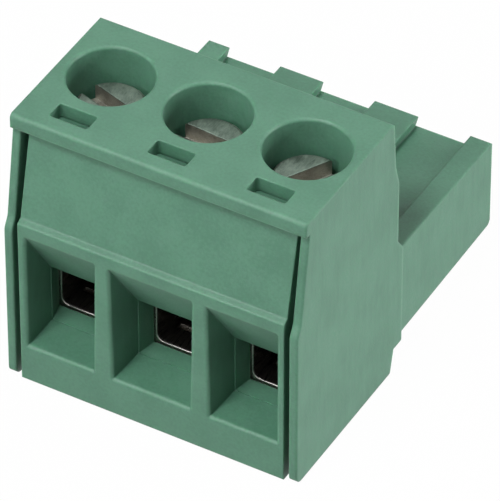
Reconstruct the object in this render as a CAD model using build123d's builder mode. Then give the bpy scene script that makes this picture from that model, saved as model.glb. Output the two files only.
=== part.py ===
from build123d import *
import os

# Pluggable screw terminal block, three poles in a row, for a board header.
# X runs along the row of poles, Y from the wire side to the plug side, and Z up.
# The origin is at the middle of the footprint, on the plane that the block stands on.
# All sizes are in millimetres.

os.makedirs("parts", exist_ok=True)

# The whole block
pole_count = 3
pole_pitch = 5.08
overall_length = 18.4
body_height = 15.0
play = 0.05

# Side plates and front lip of the housing
side_plate = 0.40
lip_height = 0.75
lip_setback = 0.75
lip_radius = 0.22
edge_radius = 0.12
lean_foot_z = 8.85
lean_foot_radius = 0.60
lean_break_z = 9.40
lean_break_in = 0.31
lean_top_in = 1.02
foot_radius = 0.45

# Back of the housing's body
back_wall = 1.23
back_step = 0.55
back_step_low_z = 11.15
back_step_high_z = 12.3
back_lean = 0.22
back_radius = 0.30
ramp_run = 0.50
ramp_top_z = 7.65

# Plug section
plug_top_root_z = 6.95
plug_top_end_z = 6.80
plug_low_root_z = 1.72
plug_low_end_z = 1.88
plug_inset = 0.05
plug_end_radius = 0.30
nose_z = 1.27
nose_lean = 0.30
nose_radius = 0.08
under_radius = 0.12
plug_wall = 0.72
groove_width = 2.78
rib_height = 0.66
rib_undercut = 0.16
mouth_lead = 0.35
mouth_slope = 26

# Screwdriver wells and latch windows
well_setback = 5.31
well_radius = 2.04
well_depth = 1.65
window_setback = 1.55
window_width = 2.0
window_length = 1.0
window_radius = 0.15

# Clamp screw, M3, captive
head_radius = 1.65
head_height = 1.55
head_edge = 0.12
head_room = 0.15
slot_width = 0.90
slot_depth = 0.85
slot_angles = (-17.0, -4.0, 61.0)
thread_radius = 1.45
relief_radius = 1.15
relief_length = 0.50
tip_chamfer = 0.35
web_thickness = 0.80

# Clamp cage, folded sheet with a tapped neck
floor_thickness = 1.80
bar_side_room = 0.16
cage_depth = 4.24
cage_sheet = 0.45
cage_bend = 0.40
wire_height = 3.15
roof_gap = 0.15
neck_radius = 1.90
neck_height = 1.00
seam_width = 0.12
grip_count = 3
grip_pitch = 0.80
grip_width = 0.30
grip_depth = 0.12

# Contact, folded spring sheet
contact_sheet = 0.50
bar_width = 2.80
bar_overhang = 0.35
bend_radius = 0.60
leaf_margin = 0.30
leaf_gap = 0.80
leaf_flare = 0.45
flare_length = 1.60
channel_length = 2.20
contact_setback = 0.90
contact_side_room = 0.20

# Wire entry cover
cover_gap = 0.30
cover_side_wall = 0.38
ledge_z = 9.55
ledge_in = 0.30
ledge_drop = 0.15
ledge_radius = 0.12
panel_top_in = 1.32
panel_thickness = 1.00
shelf_length = 1.70
shelf_thickness = 0.90
divider = 0.92
entry_taper = 0.07
entry_head = 0.80
entry_sill_z = 2.15
mouth_radius = 0.20
funnel_depth = 2.10
funnel_draw = 0.17
throat_half = 1.65
throat_rise = 0.10
throat_step = 0.05
core_wall = 0.80
core_front_wall = 0.20
cover_edge_radius = 0.10
hook_width = 1.60
hook_rise = 0.30
hook_length = 0.85
hook_flat = 0.38

# Levels, from the floor up
chamber_z = floor_thickness
cage_z = chamber_z + play
bed_z = cage_z + cage_sheet
bar_z = bed_z + wire_height
bar_top_z = bar_z + contact_sheet
roof_z = bar_top_z + roof_gap
cage_top_z = roof_z + 2 * cage_sheet
neck_top_z = cage_top_z + neck_height
head_top_z = body_height - well_depth
head_z = head_top_z - head_height
web_top_z = head_z - play
web_z = web_top_z - web_thickness
pocket_top_z = head_top_z + 2 * play
lip_z = body_height - lip_height
cage_travel = web_z - neck_top_z - 2 * play
throat_floor_z = bed_z - throat_rise
throat_roof_z = bar_z - play
room_floor_z = plug_low_end_z + plug_wall
room_roof_z = plug_top_end_z - rib_height - plug_wall
channel_z = room_roof_z - play - contact_sheet

# Places along the block, from the front plane back
front = -overall_length / 2
end = overall_length / 2
clamp_y = front + well_setback
cage_front = clamp_y - cage_depth / 2
cage_back = clamp_y + cage_depth / 2
cover_back = cage_front - 2 * play
chamber_back = cage_back + play
body_back = chamber_back + back_wall
step_back = body_back + back_step
plug_root = step_back + ramp_run
room_front = step_back - 2 * play

# Places across the block
overall_width = pole_count * pole_pitch
cage_width = bar_width + 2 * bar_side_room
contact_room = bar_width + 2 * contact_side_room
cage_outer = cage_width + 2 * cage_sheet
chamber_width = cage_outer + 2 * play
cover_half = overall_width / 2 - side_plate - cover_gap
poles = [(i - (pole_count - 1) / 2) * pole_pitch for i in range(pole_count)]


def panel_in(z):
    """Depth of the cover's leaning panel behind the front plane, at height z."""
    slope = (panel_top_in - ledge_in) / (lip_z - ledge_z)
    return ledge_in + slope * (z - ledge_z)


def rounded_outline(corners):
    """Closed outline through (across, up, corner radius) triples."""
    places = [(across, up) for across, up, _ in corners]
    FilletPolyline(places, radius=[radius for _, _, radius in corners], close=True)


# Housing: the main green moulding
side_corners = [
    (front, lean_foot_z, lean_foot_radius),
    (front + lean_break_in, lean_break_z, lean_foot_radius),
    (front + lean_top_in, lip_z, 0),
    (front + lip_setback, lip_z, 0),
    (front + lip_setback, body_height, lip_radius),
    (body_back, body_height, edge_radius),
    (body_back + back_lean, back_step_high_z, back_radius),
    (step_back, back_step_low_z, back_radius),
    (step_back, ramp_top_z, 0),
    (plug_root, plug_top_root_z, 0),
    (end, plug_top_end_z, edge_radius),
    (end, plug_low_end_z, plug_end_radius),
    (plug_root, plug_low_root_z, 0),
    (plug_root, nose_z, nose_radius),
    (body_back + nose_lean, nose_z, 0),
    (body_back, 0, under_radius),
    (front, 0, foot_radius),
]
recess_corners = [
    (front - 1, -1),
    (cover_back + play, -1),
    (cover_back + play, ledge_z - ledge_drop),
    (front + panel_in(ledge_z) + panel_thickness + play, ledge_z - ledge_drop),
    (front + panel_in(lip_z) + panel_thickness + play, lip_z - shelf_thickness - play),
    (front + panel_in(lip_z) + shelf_length + play, lip_z - shelf_thickness - play),
    (front + panel_in(lip_z) + shelf_length + play, lip_z),
    (front - 1, lip_z),
]
with BuildPart() as housing:
    with BuildSketch(Plane.YZ):
        with BuildLine():
            rounded_outline(side_corners)
        make_face()
    extrude(amount=overall_width / 2, both=True)

    # The plug section is a touch narrower than the body.
    with BuildSketch(Plane.XY):
        with GridLocations(overall_width, 0, 2, 1):
            with Locations((0, (plug_root + end) / 2 + 1)):
                Rectangle(2 * plug_inset, end - plug_root + 2)
    extrude(amount=ramp_top_z, mode=Mode.SUBTRACT)

    # Recess for the cover, between the side plates and under the lip.
    with BuildSketch(Plane.YZ):
        with BuildLine():
            Polyline(recess_corners, close=True)
        make_face()
    extrude(amount=overall_width / 2 - side_plate, both=True, mode=Mode.SUBTRACT)

    # One chamber for each clamp, open to the front until the cover closes it.
    with BuildSketch(Plane.XY.offset(chamber_z)):
        for x in poles:
            with Locations((x, (front + chamber_back) / 2)):
                Rectangle(chamber_width, chamber_back - front)
    extrude(amount=web_z - chamber_z, mode=Mode.SUBTRACT)

    # The web keeps each screw head up; its slot lets the clamp slide in from the front.
    with BuildSketch(Plane.XY.offset(web_z)):
        for x in poles:
            with Locations((x, clamp_y)):
                Circle(thread_radius + 2 * play)
            with Locations((x, (front + clamp_y) / 2)):
                Rectangle(2 * (thread_radius + 2 * play), clamp_y - front)
    extrude(amount=web_thickness, mode=Mode.SUBTRACT)
    with BuildSketch(Plane.XY.offset(web_top_z)):
        for x in poles:
            with Locations((x, (front + clamp_y) / 2)):
                Rectangle(2 * (head_radius + head_room), clamp_y - front)
    extrude(amount=pocket_top_z - web_top_z, mode=Mode.SUBTRACT)

    # Screwdriver wells and latch windows in the top.
    with BuildSketch(Plane.XY.offset(web_top_z)):
        for x in poles:
            with Locations((x, clamp_y)):
                Circle(well_radius)
    extrude(amount=body_height - web_top_z, mode=Mode.SUBTRACT)
    with BuildSketch(Plane.XY.offset(body_height)):
        for x in poles:
            with Locations((x, front + window_setback + window_length / 2)):
                RectangleRounded(window_width, window_length, window_radius)
    extrude(amount=-lip_height, mode=Mode.SUBTRACT)

    # Passage for each contact, from the clamp chamber into its room in the plug section.
    with BuildSketch(Plane.XY.offset(room_floor_z)):
        for x in poles:
            with Locations((x, (chamber_back + room_front) / 2)):
                Rectangle(contact_room, room_front - chamber_back + 2 * play)
    extrude(amount=bar_top_z + play - room_floor_z, mode=Mode.SUBTRACT)
    with BuildSketch(Plane.XY.offset(room_floor_z)):
        for x in poles:
            with Locations((x, (room_front + end) / 2)):
                Rectangle(contact_room, end - room_front)
    extrude(amount=room_roof_z - room_floor_z, mode=Mode.SUBTRACT)

    # Lead-in at each plug mouth.
    with BuildSketch(Plane.XZ.offset(-end)):
        for x in poles:
            with Locations((x, (room_floor_z + room_roof_z) / 2)):
                Rectangle(contact_room + mouth_lead, room_roof_z - room_floor_z + mouth_lead)
    extrude(amount=mouth_lead, taper=mouth_slope, mode=Mode.SUBTRACT)

    # Dovetail grooves for coding pieces, in the top of the plug section.
    with BuildSketch(Plane.XZ.offset(-end)):
        for x in poles:
            with BuildLine():
                Polyline(
                    (x - groove_width / 2, plug_top_end_z + play),
                    (x - groove_width / 2, plug_top_end_z),
                    (x - groove_width / 2 - rib_undercut, plug_top_end_z - rib_height),
                    (x + groove_width / 2 + rib_undercut, plug_top_end_z - rib_height),
                    (x + groove_width / 2, plug_top_end_z),
                    (x + groove_width / 2, plug_top_end_z + play),
                    close=True,
                )
            make_face()
    top_rise = (plug_top_root_z - plug_top_end_z) / (end - plug_root)
    extrude(amount=end - step_back, dir=(0, -1, top_rise), mode=Mode.SUBTRACT)
housing.part.label = "housing"

# Cover: the green front moulding that closes the clamp chambers
cover_top_z = lip_z - play
panel_foot = front + ledge_in
panel_top = front + panel_in(cover_top_z)
cover_corners = [
    (front, 0, cover_edge_radius),
    (front, ledge_z - ledge_drop, ledge_radius),
    (panel_foot, ledge_z, ledge_radius),
    (panel_top, cover_top_z, cover_edge_radius),
    (panel_top + shelf_length, cover_top_z, 0),
    (panel_top + shelf_length, cover_top_z - shelf_thickness, 0),
    (panel_top + panel_thickness, cover_top_z - shelf_thickness, 0),
    (panel_foot + panel_thickness, ledge_z - ledge_drop - play, 0),
    (cover_back, ledge_z - ledge_drop - play, 0),
    (cover_back, 0, 0),
]
with BuildPart() as wire_entry_cover:
    with BuildSketch(Plane.YZ):
        with BuildLine():
            rounded_outline(cover_corners)
        make_face()
    extrude(amount=cover_half, both=True)

    # Funnels: a wide mouth that draws in to the clamp, with a steep roof.
    mouth_half = (pole_pitch - divider) / 2
    entry_top_z = ledge_z - entry_head
    for x in poles:
        left = max(x - mouth_half, cover_side_wall - cover_half)
        right = min(x + mouth_half, cover_half - cover_side_wall)
        left_taper = entry_taper if left == x - mouth_half else 0
        right_taper = entry_taper if right == x + mouth_half else 0
        throat_left = max(left, x - mouth_half + funnel_draw) + throat_step
        throat_right = min(right, x + mouth_half - funnel_draw) - throat_step
        with BuildSketch(Plane.XZ.offset(-front)):
            with BuildLine():
                Polyline(
                    (left + left_taper, entry_sill_z),
                    (right - right_taper, entry_sill_z),
                    (right + right_taper, entry_top_z),
                    (left - left_taper, entry_top_z),
                    close=True,
                )
            make_face()
        with BuildSketch(Plane.XZ.offset(-front - funnel_depth)):
            with BuildLine():
                Polyline(
                    (throat_left - throat_step, throat_floor_z - throat_step),
                    (throat_right + throat_step, throat_floor_z - throat_step),
                    (throat_right + throat_step, throat_roof_z),
                    (throat_left - throat_step, throat_roof_z),
                    close=True,
                )
            make_face()
        loft(mode=Mode.SUBTRACT)

        # Throat: the last short stretch, one small step in, which guides the strands into the cage.
        with BuildSketch(Plane.XZ.offset(-front - funnel_depth)):
            with BuildLine():
                Polyline(
                    (throat_left, throat_floor_z),
                    (throat_right, throat_floor_z),
                    (throat_right, throat_roof_z),
                    (throat_left, throat_roof_z),
                    close=True,
                )
            make_face()
        with BuildSketch(Plane.XZ.offset(-cover_back)):
            with Locations((x, (throat_floor_z + throat_roof_z) / 2)):
                Rectangle(2 * throat_half, throat_roof_z - throat_floor_z)
        loft(mode=Mode.SUBTRACT)

    # The block is cored out behind each funnel's roof, to keep an even wall.
    core_top_z = ledge_z - ledge_drop - play - core_wall
    core_low_z = throat_roof_z + core_wall
    core_front = front + funnel_depth + core_front_wall
    roof_run = funnel_depth * (core_top_z - core_low_z) / (entry_top_z - throat_roof_z)
    with BuildSketch(Plane.YZ):
        with BuildLine():
            Polyline(
                (cover_back, core_low_z),
                (core_front, core_low_z),
                (core_front - roof_run, core_top_z),
                (cover_back, core_top_z),
                close=True,
            )
        make_face()
    core_profile = wire_entry_cover.pending_faces.pop()
    wire_entry_cover.pending_face_planes.clear()
    for x in poles:
        extrude(core_profile.moved(Location((x, 0, 0))), amount=throat_half, both=True, mode=Mode.SUBTRACT)

    # The rim of each mouth is well rounded, so that it doesn't fray the strands.
    front_edges = wire_entry_cover.edges().filter_by_position(Axis.Y, front - play, front + play)
    rims = front_edges.filter_by_position(Axis.X, play - cover_half, cover_half - play)
    rims = rims.filter_by_position(Axis.Z, entry_sill_z - play, entry_top_z + play)
    fillet(rims, radius=mouth_radius)

    # Snap hooks, whose backs ramp down so that they slip under the lip.
    with BuildSketch(Plane.YZ):
        hook_front = front + window_setback + play
        with BuildLine():
            Polyline(
                (hook_front, cover_top_z - play),
                (hook_front, cover_top_z + hook_rise),
                (hook_front + hook_flat, cover_top_z + hook_rise),
                (hook_front + hook_length, cover_top_z - play),
                close=True,
            )
        make_face()
    hook_profile = wire_entry_cover.pending_faces.pop()
    wire_entry_cover.pending_face_planes.clear()
    for x in poles:
        hook_x = x + (window_width - hook_width) / 2 - play
        extrude(hook_profile.moved(Location((hook_x, 0, 0))), amount=hook_width / 2, both=True)
wire_entry_cover.part.label = "wire_entry_cover"

export_step(housing.part, "parts/housing.step")
export_step(wire_entry_cover.part, "parts/wire_entry_cover.step")

# Clamp screws: slotted heads on an M3 shank; the thread's form is left off
for number, x in enumerate(poles, start=1):
    with BuildPart() as clamp_screw:
        with BuildSketch(Plane.XZ):
            with BuildLine():
                Polyline(
                    (0, bar_top_z + play),
                    (thread_radius - tip_chamfer, bar_top_z + play),
                    (thread_radius, bar_top_z + play + tip_chamfer),
                    (thread_radius, head_z - relief_length),
                    (relief_radius, head_z - relief_length + thread_radius - relief_radius),
                    (relief_radius, head_z),
                    (head_radius, head_z),
                    (head_radius, head_top_z - head_edge),
                    (head_radius - head_edge, head_top_z),
                    (0, head_top_z),
                    close=True,
                )
            make_face()
        revolve(axis=Axis.Z)
        angle = slot_angles[(number - 1) % len(slot_angles)]
        with BuildSketch(Plane.XY.offset(head_top_z)):
            Rectangle(3 * head_radius, slot_width, rotation=angle)
        extrude(amount=-slot_depth, mode=Mode.SUBTRACT)
    screw = clamp_screw.part.moved(Location((x, clamp_y, 0)))
    screw.label = f"clamp_screw_{number}"
    export_step(screw, f"parts/clamp_screw_{number}.step")

# Clamp cages: a strip folded into a box, with both ends lapped and tapped on top
for number, x in enumerate(poles, start=1):
    with BuildPart() as clamp_cage:
        with BuildSketch(Plane.XZ.offset(cage_depth / 2)):
            with Locations((0, (cage_z + cage_top_z) / 2)):
                RectangleRounded(cage_outer, cage_top_z - cage_z, cage_bend + cage_sheet)
            with Locations((0, (bed_z + roof_z) / 2)):
                RectangleRounded(cage_width, roof_z - bed_z, cage_bend, mode=Mode.SUBTRACT)
        extrude(amount=-cage_depth)

        # Tapped neck, drawn up out of the lapped ends.
        with BuildSketch(Plane.XY.offset(cage_top_z)):
            Circle(neck_radius)
        extrude(amount=neck_height)
        with BuildSketch(Plane.XY.offset(roof_z - cage_bend)):
            Circle(thread_radius + play)
        extrude(amount=neck_top_z - roof_z + cage_bend, mode=Mode.SUBTRACT)

        # Seam where the outer end of the strip stops.
        with BuildSketch(Plane.XY.offset(cage_top_z)):
            with Locations((-cage_outer / 2 + cage_bend + seam_width, 0)):
                Rectangle(seam_width, cage_depth)
        extrude(amount=-cage_sheet, mode=Mode.SUBTRACT)

        # Grooves across the bed, which bite into the wire.
        with BuildSketch(Plane.XY.offset(bed_z)):
            with GridLocations(0, grip_pitch, 1, grip_count):
                Rectangle(cage_width - 2 * cage_bend, grip_width)
        extrude(amount=-grip_depth, mode=Mode.SUBTRACT)
    cage = clamp_cage.part.moved(Location((x, clamp_y, 0)))
    cage.label = f"clamp_cage_{number}"
    export_step(cage, f"parts/clamp_cage_{number}.step")

# Contacts: a current bar over the wire, and two leaves that grip the header's pin
bar_front = cage_front + bar_overhang
bend_start = chamber_back + bend_radius
bend_end = bend_start + 2 * bend_radius
channel_end = bend_end + channel_length
leaf_end = end - contact_setback
pinch_y = leaf_end - flare_length
for number, x in enumerate(poles, start=1):
    with BuildPart() as contact:
        with BuildSketch(Plane.YZ):
            with BuildLine():
                FilletPolyline(
                    (bar_front, bar_z),
                    (bend_start, bar_z),
                    (bend_end, channel_z),
                    (channel_end, channel_z),
                    radius=bend_radius,
                )
                offset(amount=contact_sheet, side=Side.LEFT)
            make_face()
        extrude(amount=bar_width / 2, both=True)

        # The sheet is folded down along both sides, into a channel.
        with BuildSketch(Plane.XY.offset(room_floor_z + play)):
            with GridLocations(bar_width - contact_sheet, 0, 2, 1):
                with Locations((0, (bend_end + channel_end) / 2)):
                    Rectangle(contact_sheet, channel_length)
        extrude(amount=channel_z + contact_sheet / 2 - room_floor_z - play)

        # The two leaves draw together at the pin and flare at the mouth.
        with BuildSketch(Plane.XY.offset(room_floor_z + play + leaf_margin)):
            with BuildLine():
                FilletPolyline(
                    (bar_width / 2 - contact_sheet, channel_end - contact_sheet),
                    (bar_width / 2 - contact_sheet, channel_end),
                    (leaf_gap / 2, pinch_y),
                    (leaf_gap / 2 + leaf_flare, leaf_end),
                    radius=bend_radius,
                )
                offset(amount=contact_sheet, side=Side.RIGHT)
            make_face()
            mirror(about=Plane.YZ)
        extrude(amount=channel_z - room_floor_z - play - 2 * leaf_margin)
    piece = contact.part.moved(Location((x, 0, 0)))
    piece.label = f"contact_{number}"
    export_step(piece, f"parts/contact_{number}.step")

print("cage travel", round(cage_travel, 3), "clamp y", round(clamp_y, 3))
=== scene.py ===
import math

import bmesh
import bpy
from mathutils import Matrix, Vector


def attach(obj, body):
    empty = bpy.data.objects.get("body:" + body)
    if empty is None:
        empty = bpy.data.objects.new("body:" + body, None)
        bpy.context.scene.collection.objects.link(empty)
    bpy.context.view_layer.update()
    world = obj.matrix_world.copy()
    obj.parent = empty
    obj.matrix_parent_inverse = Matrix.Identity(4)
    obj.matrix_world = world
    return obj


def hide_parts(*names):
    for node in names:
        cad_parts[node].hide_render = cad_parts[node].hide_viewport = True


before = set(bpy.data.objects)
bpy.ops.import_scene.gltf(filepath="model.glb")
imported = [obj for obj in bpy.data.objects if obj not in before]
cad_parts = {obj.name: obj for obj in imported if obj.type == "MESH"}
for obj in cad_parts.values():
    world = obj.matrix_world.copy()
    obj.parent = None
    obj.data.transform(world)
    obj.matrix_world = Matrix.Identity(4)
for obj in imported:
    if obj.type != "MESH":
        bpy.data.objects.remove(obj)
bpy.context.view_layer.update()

# Housing
# The main moulding of the block: glass-filled polyamide, shot in one piece on a spark-eroded
# steel tool, so its faces are fine and matt and every edge leaves the tool a little rounded.
mm = 0.001
pole_pitch = 5.08 * mm
well_y = -3.89 * mm
well_radius = 2.04 * mm
rim_radius = 0.17 * mm
rim_steps = 6
weld_gap = 0.00001 * mm
level_gap = 0.001 * mm
circle_gap = 0.01 * mm
sharp_turn = math.radians(28)
flat_turn = math.radians(0.8)

# Moulded edges are rounded in the shading: more on the thin side plates, and not at all where a
# funnel runs into its throat.
moulded_edge = 0.11 * mm
plate_edge = 0.24 * mm
plate_x = 7.0 * mm
throat_y = -7.10 * mm
throat_reach = 0.35 * mm
throat_top = 6.0 * mm
edge_samples = 8

# The eroded skin's grit of some 0.03 mm is too fine for this view, so the grain and the specks are
# drawn at 0.11 and 0.15 mm. The skin shines a little less than the 1.53 of smooth polyamide.
polyamide_light = "#4A745F"
polyamide_dark = "#416A56"
cloud_size = 2.2 * mm
speck_size = 0.15 * mm
grain_size = 0.11 * mm
grain_depth = 0.006 * mm
scuff_size = 0.3 * mm
scuff_stretch = (1.0, 1.0, 0.16)
scuff_share = 0.7
pigment_range = (0.8, 1.2)
polyamide_ior = 1.45
polyamide_depth = 0.45
polyamide_spread = (0.22 * mm, 0.55 * mm, 0.30 * mm)
polyamide_roughness = (0.46, 0.58)

# A noise swings round its middle and seldom leaves its range; its detail is in octaves.
noise_middle = 0.5
noise_range = (0.3, 0.7)
coarse_detail = 2.0
soft_detail = 3.0
fine_detail = 4.0


def linear(hex_colour):
    """Turn an sRGB hex colour into linear red, green, blue and alpha."""
    levels = [int(hex_colour[i:i + 2], 16) / 255 for i in (1, 3, 5)]
    levels = [
        level / 12.92 if level <= 0.04045 else ((level + 0.055) / 1.055) ** 2.4
        for level in levels]
    return levels + [1.0]


def socket_of(sockets, name):
    """Find a socket by its identifier or, failing that, by the name on the node."""
    for socket in sockets:
        if socket.identifier == name:
            return socket
    return sockets[name]


def add_node(tree, kind, inputs, **settings):
    """Add a node: its settings, then each input as a value or a link from an output or a node."""
    node = tree.nodes.new(kind)
    for name, value in settings.items():
        setattr(node, name, value)
    for name, value in inputs.items():
        if isinstance(value, bpy.types.Node):
            value = next(socket for socket in value.outputs if socket.enabled)
        if isinstance(value, bpy.types.NodeSocket):
            tree.links.new(value, socket_of(node.inputs, name))
        else:
            socket_of(node.inputs, name).default_value = value
    return node


def empty_material(name):
    """Make a material with an empty node tree."""
    material = bpy.data.materials.new(name)
    material.use_nodes = True
    material.node_tree.nodes.clear()
    return material, material.node_tree


def merged_copy(node):
    """Copy a CAD solid with its loose triangles joined."""
    shape = bmesh.new()
    shape.from_mesh(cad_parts[node].data)
    bmesh.ops.remove_doubles(shape, verts=shape.verts, dist=weld_gap)
    return shape


def roll_well_rims(shape):
    """Round the rims of the wells, and lay the top face anew round them."""
    top = max(vertex.co.z for vertex in shape.verts)
    lid = {
        face for face in shape.faces
        if all(top - vertex.co.z < level_gap for vertex in face.verts)}
    outline = [edge for edge in shape.edges if sum(face in lid for face in edge.link_faces) == 1]
    bmesh.ops.delete(shape, geom=list(lid), context="FACES")
    for pole_x in (-pole_pitch, 0, pole_pitch):
        middle = Vector((pole_x, well_y, top))
        rim = {
            vertex for edge in outline for vertex in edge.verts
            if abs((vertex.co - middle).length - well_radius) < circle_gap}
        rim = sorted(
            rim, key=lambda vertex: math.atan2(vertex.co.y - well_y, vertex.co.x - pole_x))
        outline = [edge for edge in outline if edge.verts[0] not in rim]
        spokes = [(vertex.co - middle).normalized() for vertex in rim]
        for vertex in rim:
            vertex.co.z = top - rim_radius
        for step in range(1, rim_steps + 1):
            turn = math.pi / 2 * step / rim_steps
            reach = well_radius + rim_radius * (1 - math.cos(turn))
            drop = Vector((0, 0, rim_radius * (1 - math.sin(turn))))
            ring = [shape.verts.new(middle + spoke * reach - drop) for spoke in spokes]
            for i in range(len(rim)):
                shape.faces.new((rim[i - 1], ring[i - 1], ring[i], rim[i]))
            rim = ring
        outline += [shape.edges.get((rim[i - 1], rim[i])) for i in range(len(rim))]
    bmesh.ops.triangle_fill(shape, edges=outline, use_beauty=True, normal=(0, 0, 1))
    return shape


def neighbours(face, turn):
    """The faces across a face's edges that turn away from it by less than an angle."""
    for edge in face.edges:
        if len(edge.link_faces) == 2 and edge.calc_face_angle() < turn:
            one, other = edge.link_faces
            yield edge, other if one is face else one


def flat_areas(shape):
    """Give each facet the direction and size of the whole flat area that it is a part of."""
    weighted = {}
    for seed in shape.faces:
        if seed in weighted:
            continue
        area = {seed}
        edge_of_area = [seed]
        while edge_of_area:
            for _, face in neighbours(edge_of_area.pop(), flat_turn):
                if face not in area:
                    area.add(face)
                    edge_of_area.append(face)
        sum_of_area = sum((face.normal * face.calc_area() for face in area), Vector())
        for face in area:
            weighted[face] = sum_of_area
    return weighted


def corner_directions(shape):
    """Directions for the light at each corner: flats stay flat and rounds run smoothly on."""
    weighted = flat_areas(shape)
    directions = []
    for face in shape.faces:
        for loop in face.loops:
            fan = {face}
            edge_of_fan = [face]
            while edge_of_fan:
                for edge, other in neighbours(edge_of_fan.pop(), sharp_turn):
                    if loop.vert in edge.verts and other not in fan:
                        fan.add(other)
                        edge_of_fan.append(other)
            directions.append(sum((weighted[member] for member in fan), Vector()).normalized())
    return directions


def show_piece(shape, name, node, body, material):
    """Turn a finished bmesh into the piece that stands for a CAD node."""
    shape.normal_update()
    directions = corner_directions(shape)
    mesh = bpy.data.meshes.new(name)
    shape.to_mesh(mesh)
    shape.free()
    for face in mesh.polygons:
        face.use_smooth = True
    mesh.normals_split_custom_set(directions)
    piece = bpy.data.objects.new(name, mesh)
    bpy.context.scene.collection.objects.link(piece)
    mesh.materials.append(material)
    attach(piece, body)
    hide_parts(node)


# Moulded polyamide gives the eye a satin green, mottled by its pigment, into which light sinks a
# little way, with short upright scuffs from handling on the sides.
polyamide, tree = empty_material("moulded_green_polyamide")
where = add_node(tree, "ShaderNodeTexCoord", {}).outputs["Object"]
clouds = add_node(tree, "ShaderNodeTexNoise", {
    "Vector": where, "Scale": 1 / cloud_size, "Detail": soft_detail})
specks = add_node(tree, "ShaderNodeTexNoise", {
    "Vector": where, "Scale": 1 / speck_size, "Detail": fine_detail})
grain = add_node(tree, "ShaderNodeTexNoise", {
    "Vector": where, "Scale": 1 / grain_size, "Detail": coarse_detail})
mottle = add_node(tree, "ShaderNodeMath", {"Value": clouds, "Value_001": specks}, operation="ADD")
upright = add_node(tree, "ShaderNodeMapping", {"Vector": where, "Scale": scuff_stretch})
streaks = add_node(tree, "ShaderNodeTexNoise", {
    "Vector": upright, "Scale": 1 / scuff_size, "Detail": fine_detail})
streaks = add_node(tree, "ShaderNodeMath", {
    "Value": streaks, "Value_001": noise_middle}, operation="SUBTRACT")
surface = add_node(tree, "ShaderNodeNewGeometry", {}).outputs["True Normal"]
facing = add_node(tree, "ShaderNodeSeparateXYZ", {"Vector": surface}).outputs["X"]
on_side = add_node(tree, "ShaderNodeMath", {"Value": facing}, operation="ABSOLUTE")
on_side = add_node(tree, "ShaderNodeMath", {
    "Value": on_side, "Value_001": scuff_share}, operation="MULTIPLY")
scuffs = add_node(tree, "ShaderNodeMath", {
    "Value": streaks, "Value_001": on_side}, operation="MULTIPLY")
pigment = add_node(tree, "ShaderNodeMath", {"Value": mottle, "Value_001": scuffs}, operation="ADD")
share = add_node(tree, "ShaderNodeMapRange", {
    "Value": pigment, "From Min": pigment_range[0], "From Max": pigment_range[1]})
colour = add_node(tree, "ShaderNodeMix", {
    "Factor_Float": share, "A_Color": linear(polyamide_dark), "B_Color": linear(polyamide_light)},
    data_type="RGBA")
roughness = add_node(tree, "ShaderNodeMapRange", {
    "Value": specks, "From Min": noise_range[0], "From Max": noise_range[1],
    "To Min": polyamide_roughness[0], "To Max": polyamide_roughness[1]})
spot = add_node(tree, "ShaderNodeSeparateXYZ", {"Vector": where}).outputs
behind_funnel = add_node(tree, "ShaderNodeMath", {
    "Value": spot["Y"], "Value_001": throat_y, "Value_002": throat_reach}, operation="COMPARE")
below_roof = add_node(tree, "ShaderNodeMath", {
    "Value": spot["Z"], "Value_001": throat_top}, operation="LESS_THAN")
in_throat = add_node(tree, "ShaderNodeMath", {
    "Value": behind_funnel, "Value_001": below_roof}, operation="MULTIPLY")
aside = add_node(tree, "ShaderNodeMath", {"Value": spot["X"]}, operation="ABSOLUTE")
on_plate = add_node(tree, "ShaderNodeMath", {
    "Value": aside, "Value_001": plate_x}, operation="GREATER_THAN")
edge = add_node(tree, "ShaderNodeMapRange", {
    "Value": on_plate, "To Min": moulded_edge, "To Max": plate_edge})
edge = add_node(tree, "ShaderNodeMapRange", {"Value": in_throat, "To Min": edge, "To Max": 0.0})
rounded = add_node(tree, "ShaderNodeBevel", {"Radius": edge}, samples=edge_samples)
skin = add_node(tree, "ShaderNodeBump", {
    "Height": grain, "Strength": 1.0, "Distance": grain_depth, "Normal": rounded})
plastic = add_node(tree, "ShaderNodeBsdfPrincipled", {
    "Base Color": colour, "Roughness": roughness, "Subsurface Weight": polyamide_depth,
    "Subsurface Radius": polyamide_spread, "Subsurface Scale": 1.0,
    "IOR": polyamide_ior, "Normal": skin})
add_node(tree, "ShaderNodeOutputMaterial", {"Surface": plastic})

show_piece(
    roll_well_rims(merged_copy("housing")), "moulded_housing", "housing", "root",
    polyamide)

# Wire entry cover
# The front moulding, of the same polyamide: snapped in between the side plates, it closes the
# clamp chambers and leads each wire in through a funnel.
show_piece(
    merged_copy("wire_entry_cover"), "moulded_wire_entry_cover", "wire_entry_cover", "root",
    polyamide)

# Clamp cages
# Strips of steel folded into a box round the wire and lapped on top, where the neck is tapped,
# then nickel plated.
cage_edge = 0.08 * mm
# Behind this depth the cage's colour gets a painted shade, which stands for the shade inside the
# box.
rim_back = -5.89 * mm
nickel_bright = "#D2CFCA"
nickel_dull = "#A9A6A1"
# The painted shade for the inside of the cage.
nickel_painted_shade = "#AAA8A4"
nickel_roughness = (0.25, 0.36)

# The lines of rolling lie about 0.01 mm apart, and are drawn at 0.06 mm, where they begin to show.
drawn_line = 0.06 * mm
strip_stretch = (1.0, 0.06, 1.0)
line_depth = 0.001 * mm
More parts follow.
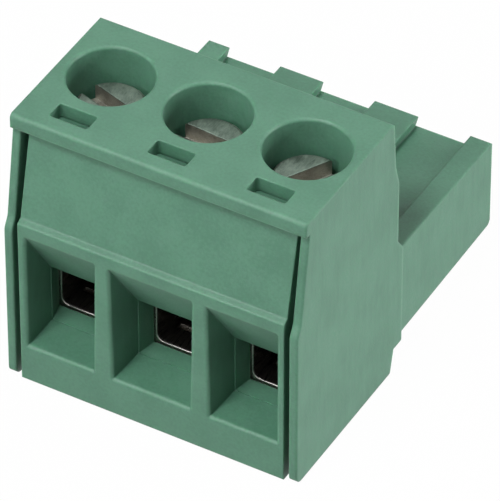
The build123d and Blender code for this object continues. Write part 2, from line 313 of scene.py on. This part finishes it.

# Nickel plate gives the eye bright drawn lines; a painted shade darkens the cage behind its rim.
nickel, tree = empty_material("nickel_plated_steel")
where = add_node(tree, "ShaderNodeTexCoord", {}).outputs["Object"]
along_strip = add_node(tree, "ShaderNodeMapping", {"Vector": where, "Scale": strip_stretch})
lines = add_node(tree, "ShaderNodeTexNoise", {
    "Vector": along_strip, "Scale": 1 / drawn_line, "Detail": soft_detail})
colour = add_node(tree, "ShaderNodeMix", {
    "Factor_Float": lines, "A_Color": linear(nickel_dull), "B_Color": linear(nickel_bright)},
    data_type="RGBA")
spot = add_node(tree, "ShaderNodeSeparateXYZ", {"Vector": where}).outputs
# Behind the rim, a painted shade darkens the inside of the cage; the rim keeps the plain nickel.
painted_shade_inside = add_node(tree, "ShaderNodeMath", {
    "Value": spot["Y"], "Value_001": rim_back}, operation="GREATER_THAN")
colour = add_node(tree, "ShaderNodeMix", {
    "Factor_Float": painted_shade_inside, "A_Color": colour, "B_Color": linear(nickel_painted_shade)},
    data_type="RGBA", blend_type="MULTIPLY")
roughness = add_node(tree, "ShaderNodeMapRange", {
    "Value": lines, "From Min": noise_range[0], "From Max": noise_range[1],
    "To Min": nickel_roughness[0], "To Max": nickel_roughness[1]})
rounded = add_node(tree, "ShaderNodeBevel", {"Radius": cage_edge}, samples=edge_samples)
scratch = add_node(tree, "ShaderNodeBump", {
    "Height": lines, "Strength": 1.0, "Distance": line_depth, "Normal": rounded})
metal = add_node(tree, "ShaderNodeBsdfPrincipled", {
    "Base Color": colour, "Metallic": 1.0,
    "Roughness": roughness, "Normal": scratch})
add_node(tree, "ShaderNodeOutputMaterial", {"Surface": metal})

poles = (1, 2, 3)
for pole in poles:
    show_piece(
        merged_copy(f"clamp_cage_{pole}"), f"folded_clamp_cage_{pole}", f"clamp_cage_{pole}",
        f"cage_{pole}", nickel)

# Clamp screws
# M3 slotted screws, turned, milled, thread-rolled and zinc plated, which stand at the bottom of
# the wells with their shanks in the cages' necks.
screw_edge = 0.07 * mm
crest_radius = 1.45 * mm
core_radius = 1.18 * mm
relief_radius = 1.15 * mm
thread_lead = 0.5 * mm
tip_height = 6.00 * mm
relief_height = 11.30 * mm
seat_height = 11.70 * mm
thread_facets = 48
thread_rings = 136

# Where the flat of the thread's root ends and that of its crest begins, in leads from the root.
root_end = 1 / 8
crest_start = 7 / 16

# The green in these greys is a painted reflection of the green walls round the heads.
zinc_bright = "#808E83"
zinc_dull = "#59655D"
# The slot's greys are brighter and warmer than the head's: a painted light on the walls of the
# slot, which lie in shade.
slot_lit_bright = "#B7B5AB"
slot_lit_dull = "#8B8981"
slot_top = 13.31 * mm
zinc_roughness = (0.40, 0.58)
stain_size = 0.7 * mm
worn_range = (0.7, 1.3)

# Scratches of about 0.03 mm are drawn at 0.16 mm, as coarse as they need to be to show.
scratch_size = 0.16 * mm
scratch_bend = 2.5
scratch_depth = 0.004 * mm
blade_turn = math.radians(35)
blade_stretch = (1.0, 0.3, 1.0)

# Zinc plate gives the eye a dull grey with stains and the marks of the driver's blade, tinted green
# by a painted reflection of the green walls round the heads. The slot is a warmer and brighter
# grey, a painted light on its shaded walls.
zinc, tree = empty_material("zinc_plated_steel")
where = add_node(tree, "ShaderNodeTexCoord", {}).outputs["Object"]
across_head = add_node(tree, "ShaderNodeMapping", {
    "Vector": where, "Rotation": (0, 0, blade_turn), "Scale": blade_stretch})
scratches = add_node(tree, "ShaderNodeTexNoise", {
    "Vector": across_head, "Scale": 1 / scratch_size, "Detail": fine_detail,
    "Distortion": scratch_bend})
stains = add_node(tree, "ShaderNodeTexNoise", {
    "Vector": where, "Scale": 1 / stain_size, "Detail": soft_detail})
worn = add_node(tree, "ShaderNodeMath", {"Value": scratches, "Value_001": stains}, operation="ADD")
lines = add_node(tree, "ShaderNodeMapRange", {
    "Value": worn, "From Min": worn_range[0], "From Max": worn_range[1]})
colour = add_node(tree, "ShaderNodeMix", {
    "Factor_Float": lines, "A_Color": linear(zinc_dull), "B_Color": linear(zinc_bright)},
    data_type="RGBA")
# Below the top of the slot, a painted light on its shaded walls.
slot_painted_light = add_node(tree, "ShaderNodeMix", {
    "Factor_Float": lines, "A_Color": linear(slot_lit_dull), "B_Color": linear(slot_lit_bright)},
    data_type="RGBA")
spot = add_node(tree, "ShaderNodeSeparateXYZ", {"Vector": where}).outputs
in_slot = add_node(tree, "ShaderNodeMath", {
    "Value": spot["Z"], "Value_001": slot_top}, operation="LESS_THAN")
colour = add_node(tree, "ShaderNodeMix", {
    "Factor_Float": in_slot, "A_Color": colour, "B_Color": slot_painted_light}, data_type="RGBA")
rounded = add_node(tree, "ShaderNodeBevel", {"Radius": screw_edge}, samples=edge_samples)
scratch = add_node(tree, "ShaderNodeBump", {
    "Height": lines, "Strength": 1.0, "Distance": scratch_depth, "Normal": rounded})
roughness = add_node(tree, "ShaderNodeMapRange", {
    "Value": lines, "To Min": zinc_roughness[0], "To Max": zinc_roughness[1]})
metal = add_node(tree, "ShaderNodeBsdfPrincipled", {
    "Base Color": colour, "Metallic": 1.0, "Roughness": roughness,
    "Normal": scratch})
add_node(tree, "ShaderNodeOutputMaterial", {"Surface": metal})


def rolled_thread(material):
    """Build the tree that rolls a shank: its radius follows the thread's form up and round it."""
    tree = bpy.data.node_groups.new("rolled_thread", "GeometryNodeTree")
    sockets = {}
    for name in (
            "crest radius", "core radius", "relief radius", "lead", "tip", "relief", "seat",
            "pole", "row"):
        size = tree.interface.new_socket(name, in_out="INPUT", socket_type="NodeSocketFloat")
        sockets[name] = size.identifier
    tree.interface.new_socket("shank", in_out="OUTPUT", socket_type="NodeSocketGeometry")
    size = add_node(tree, "NodeGroupInput", {}).outputs
    bar = add_node(tree, "GeometryNodeMeshCylinder", {
        "Vertices": thread_facets, "Side Segments": thread_rings, "Radius": 1.0, "Depth": 1.0},
        fill_type="NGON")
    place = add_node(tree, "GeometryNodeInputPosition", {})
    spot = add_node(tree, "ShaderNodeSeparateXYZ", {"Vector": place}).outputs
    share = add_node(tree, "ShaderNodeMath", {
        "Value": spot["Z"], "Value_001": 0.5}, operation="ADD")
    height = add_node(tree, "ShaderNodeMapRange", {
        "Value": share, "To Min": size["tip"], "To Max": size["seat"]})
    threads = add_node(tree, "ShaderNodeMath", {
        "Value": height, "Value_001": size["lead"]}, operation="DIVIDE")
    angle = add_node(tree, "ShaderNodeMath", {
        "Value": spot["Y"], "Value_001": spot["X"]}, operation="ARCTAN2")
    turns = add_node(tree, "ShaderNodeMath", {
        "Value": angle, "Value_001": 2 * math.pi}, operation="DIVIDE")
    phase = add_node(tree, "ShaderNodeMath", {
        "Value": threads, "Value_001": turns}, operation="SUBTRACT")
    wave = add_node(tree, "ShaderNodeMath", {
        "Value": phase, "Value_001": 0.5}, operation="PINGPONG")
    form = add_node(tree, "ShaderNodeMapRange", {
        "Value": wave, "From Min": root_end, "From Max": crest_start,
        "To Min": size["core radius"], "To Max": size["crest radius"]})

    # A chamfer of 45 degrees at the tip, and one where the thread runs out into the relief.
    from_tip = add_node(tree, "ShaderNodeMath", {
        "Value": height, "Value_001": size["tip"]}, operation="SUBTRACT")
    tip_form = add_node(tree, "ShaderNodeMath", {
        "Value": from_tip, "Value_001": size["relief radius"]}, operation="ADD")
    to_relief = add_node(tree, "ShaderNodeMath", {
        "Value": size["relief"], "Value_001": height}, operation="SUBTRACT")
    end_form = add_node(tree, "ShaderNodeMath", {
        "Value": to_relief, "Value_001": size["crest radius"]}, operation="ADD")
    least = add_node(tree, "ShaderNodeMath", {
        "Value": tip_form, "Value_001": end_form}, operation="MINIMUM")
    least = add_node(tree, "ShaderNodeMath", {
        "Value": least, "Value_001": form}, operation="MINIMUM")
    radius = add_node(tree, "ShaderNodeMath", {
        "Value": least, "Value_001": size["relief radius"]}, operation="MAXIMUM")
    across = add_node(tree, "ShaderNodeMath", {
        "Value": spot["X"], "Value_001": radius}, operation="MULTIPLY")
    along = add_node(tree, "ShaderNodeMath", {
        "Value": spot["Y"], "Value_001": radius}, operation="MULTIPLY")
    rolled = add_node(tree, "ShaderNodeCombineXYZ", {"X": across, "Y": along, "Z": height})
    shank = add_node(tree, "GeometryNodeSetPosition", {"Geometry": bar, "Position": rolled})
    pole = add_node(tree, "ShaderNodeCombineXYZ", {"X": size["pole"], "Y": size["row"]})
    shank = add_node(tree, "GeometryNodeTransform", {"Geometry": shank, "Translation": pole})
    shank = add_node(tree, "GeometryNodeRealizeInstances", {"Geometry": shank})
    shank = add_node(tree, "GeometryNodeSetMaterial", {"Geometry": shank, "Material": material})
    add_node(tree, "NodeGroupOutput", {"shank": shank})
    return tree, sockets


def run_tree(tree, sockets, sizes):
    """Make a tree's piece with the given sizes, as a plain mesh."""
    bench = bpy.data.objects.new("bench", bpy.data.meshes.new("bench"))
    bpy.context.scene.collection.objects.link(bench)
    maker = bench.modifiers.new("maker", "NODES")
    maker.node_group = tree
    for name, value in sizes.items():
        maker[sockets[name]] = value
    graph = bpy.context.evaluated_depsgraph_get()
    mesh = bpy.data.meshes.new_from_object(bench.evaluated_get(graph))
    bench.modifiers.remove(maker)
    bpy.data.objects.remove(bench)
    return mesh


def screw_head(node):
    """Cut a CAD screw off in its relief and keep the slotted head."""
    shape = merged_copy(node)
    bmesh.ops.bisect_plane(
        shape, geom=shape.verts[:] + shape.edges[:] + shape.faces[:], plane_co=(0, 0, seat_height),
        plane_no=(0, 0, 1), clear_inner=True)
    bmesh.ops.holes_fill(shape, edges=[edge for edge in shape.edges if edge.is_boundary])
    return shape


thread_tree, thread_sockets = rolled_thread(zinc)
for pole in poles:
    shank = run_tree(thread_tree, thread_sockets, {
        "crest radius": crest_radius, "core radius": core_radius, "relief radius": relief_radius,
        "lead": thread_lead, "tip": tip_height, "relief": relief_height, "seat": seat_height,
        "pole": (pole - 2) * pole_pitch, "row": well_y})
    screw = screw_head(f"clamp_screw_{pole}")
    screw.from_mesh(shank)
    show_piece(
        screw, f"slotted_clamp_screw_{pole}", f"clamp_screw_{pole}", f"screw_{pole}",
        zinc)

# Contacts
# Bronze strip, blanked and folded into a bar, which runs through the clamp cage, and two spring
# leaves, which take the header's pin, and tin plated.
contact_edge = 0.03 * mm
# From the leaves to the bar in the clamp the tin runs from its grey down to a painted shade with
# some tarnish.
tin_bright = "#8F8D86"
tin_shade_and_tarnish = "#1D1C1B"
bar_y = 0.0 * mm
leaf_y = 3.0 * mm
tin_roughness = 0.45

# Tin plate gives the eye a soft grey on the leaves; towards the bar in the clamp it runs down to a
# painted shade, with some tarnish.
tin, tree = empty_material("tin_plated_bronze")
where = add_node(tree, "ShaderNodeTexCoord", {}).outputs["Object"]
spot = add_node(tree, "ShaderNodeSeparateXYZ", {"Vector": where}).outputs
# Towards the bar the colour runs into the painted shade of the clamp's inside.
share = add_node(tree, "ShaderNodeMapRange", {
    "Value": spot["Y"], "From Min": bar_y, "From Max": leaf_y})
colour = add_node(tree, "ShaderNodeMix", {
    "Factor_Float": share, "A_Color": linear(tin_shade_and_tarnish), "B_Color": linear(tin_bright)},
    data_type="RGBA")
rounded = add_node(tree, "ShaderNodeBevel", {"Radius": contact_edge}, samples=edge_samples)
metal = add_node(tree, "ShaderNodeBsdfPrincipled", {
    "Base Color": colour, "Metallic": 1.0, "Roughness": tin_roughness, "Normal": rounded})
add_node(tree, "ShaderNodeOutputMaterial", {"Surface": metal})
for pole in poles:
    show_piece(
        merged_copy(f"contact_{pole}"), f"tinned_contact_{pole}", f"contact_{pole}", "root",
        tin)

# Stage
# A plain pale sheet of matt paper that the block stands on, laid a hair lower so that the two
# faces don't flicker. To the camera and in reflections it is white, to all other light a pale grey.
floor_half = 400 * mm
floor_drop = 0.01 * mm
paper_colour = "#BCBCBC"
paper_seen = 0.985
plain_white = "#FFFFFF"


def background_rays(tree):
    """Tell the rays that see the background, from the camera or off a gloss, from the rest."""
    rays = add_node(tree, "ShaderNodeLightPath", {}).outputs
    seen = add_node(tree, "ShaderNodeMath", {
        "Value": rays["Is Camera Ray"], "Value_001": rays["Is Transmission Ray"]},
        operation="MAXIMUM")
    return add_node(tree, "ShaderNodeMath", {
        "Value": seen, "Value_001": rays["Is Glossy Ray"]}, operation="MAXIMUM")


paper, tree = empty_material("pale_paper")
share = add_node(tree, "ShaderNodeMath", {
    "Value": background_rays(tree), "Value_001": paper_seen}, operation="MULTIPLY")
matt = add_node(tree, "ShaderNodeBsdfDiffuse", {"Color": linear(paper_colour)})
glow = add_node(tree, "ShaderNodeEmission", {"Color": linear(plain_white), "Strength": 1.0})
both = add_node(tree, "ShaderNodeMixShader", {
    "Fac": share, "Shader": matt, "Shader_001": glow})
add_node(tree, "ShaderNodeOutputMaterial", {"Surface": both})
sheet = bpy.data.meshes.new("paper_sheet")
sheet.from_pydata(
    [(-floor_half, -floor_half, -floor_drop), (floor_half, -floor_half, -floor_drop),
     (floor_half, floor_half, -floor_drop), (-floor_half, floor_half, -floor_drop)],
    [], [(0, 1, 2, 3)])
sheet.materials.append(paper)
floor = bpy.data.objects.new("paper_sheet", sheet)
bpy.context.scene.collection.objects.link(floor)

# Light
# Two soft boxes at the front left and one high in front make the form. A low wide bank on the
# right, with a small box over it, lights the side, and one behind lifts the back. The room is white
# to the camera and in reflections, and gives the block no other light.
lamp_distance = 400 * mm
front_side = 110 * mm
back_side = 140 * mm
bank_side = 180 * mm

world = bpy.data.worlds.new("pale_room")
bpy.context.scene.world = world
world.use_nodes = True
tree = world.node_tree
tree.nodes.clear()
room = add_node(tree, "ShaderNodeBackground", {
    "Color": linear(plain_white), "Strength": background_rays(tree)})
add_node(tree, "ShaderNodeOutputWorld", {"Surface": room})


def soft_box(name, azimuth, elevation, side, watts):
    """Hang a square white lamp that faces the block; azimuth 0 is in front and 90 on the right."""
    lamp = bpy.data.lights.new(name, "AREA")
    lamp.size = side
    lamp.energy = watts
    box = bpy.data.objects.new(name, lamp)
    bpy.context.scene.collection.objects.link(box)
    turn, rise = math.radians(azimuth), math.radians(elevation)
    away = Vector((
        math.sin(turn) * math.cos(rise), -math.cos(turn) * math.cos(rise), math.sin(rise)))
    box.location = away * lamp_distance
    box.rotation_euler = away.to_track_quat("Z", "Y").to_euler()


soft_box("front_box", -18, 34, front_side, 0.68)
soft_box("low_left_box", -50, 20, front_side, 0.50)
soft_box("high_box", -2, 61, front_side, 1.42)
soft_box("right_box", 100, 40, back_side, 0.30)
soft_box("low_right_box", 112, 8, bank_side, 1.95)
soft_box("back_box", -165, 66, back_side, 0.28)

# Camera
# Close product view from the front right and above, with a long lens, as in the photograph. The
# aim lies a little off the middle of the frame.
view_azimuth = math.radians(29.9)
view_elevation = math.radians(41.2)
view_distance = 296.72 * mm
aim = Vector((0, -1.2 * mm, 8.0 * mm))
aim_right = -0.512 * mm
aim_down = -2.453 * mm
lens_length = 468
sensor_width = 36
clip_near = 10 * mm
clip_far = 10000 * mm

ahead = Vector((
    -math.sin(view_azimuth) * math.cos(view_elevation),
    math.cos(view_azimuth) * math.cos(view_elevation),
    -math.sin(view_elevation)))
right = Vector((math.cos(view_azimuth), math.sin(view_azimuth), 0))
down = ahead.cross(right)
lens = bpy.data.cameras.new("product_camera")
lens.sensor_fit = "HORIZONTAL"
lens.sensor_width = sensor_width
lens.lens = lens_length
lens.clip_start = clip_near
lens.clip_end = clip_far
camera = bpy.data.objects.new("product_camera", lens)
bpy.context.scene.collection.objects.link(camera)
camera.location = aim - right * aim_right - down * aim_down - ahead * view_distance
camera.rotation_euler = ahead.to_track_quat("-Z", "Y").to_euler()
bpy.context.scene.camera = camera
bpy.context.scene.view_settings.view_transform = "Standard"
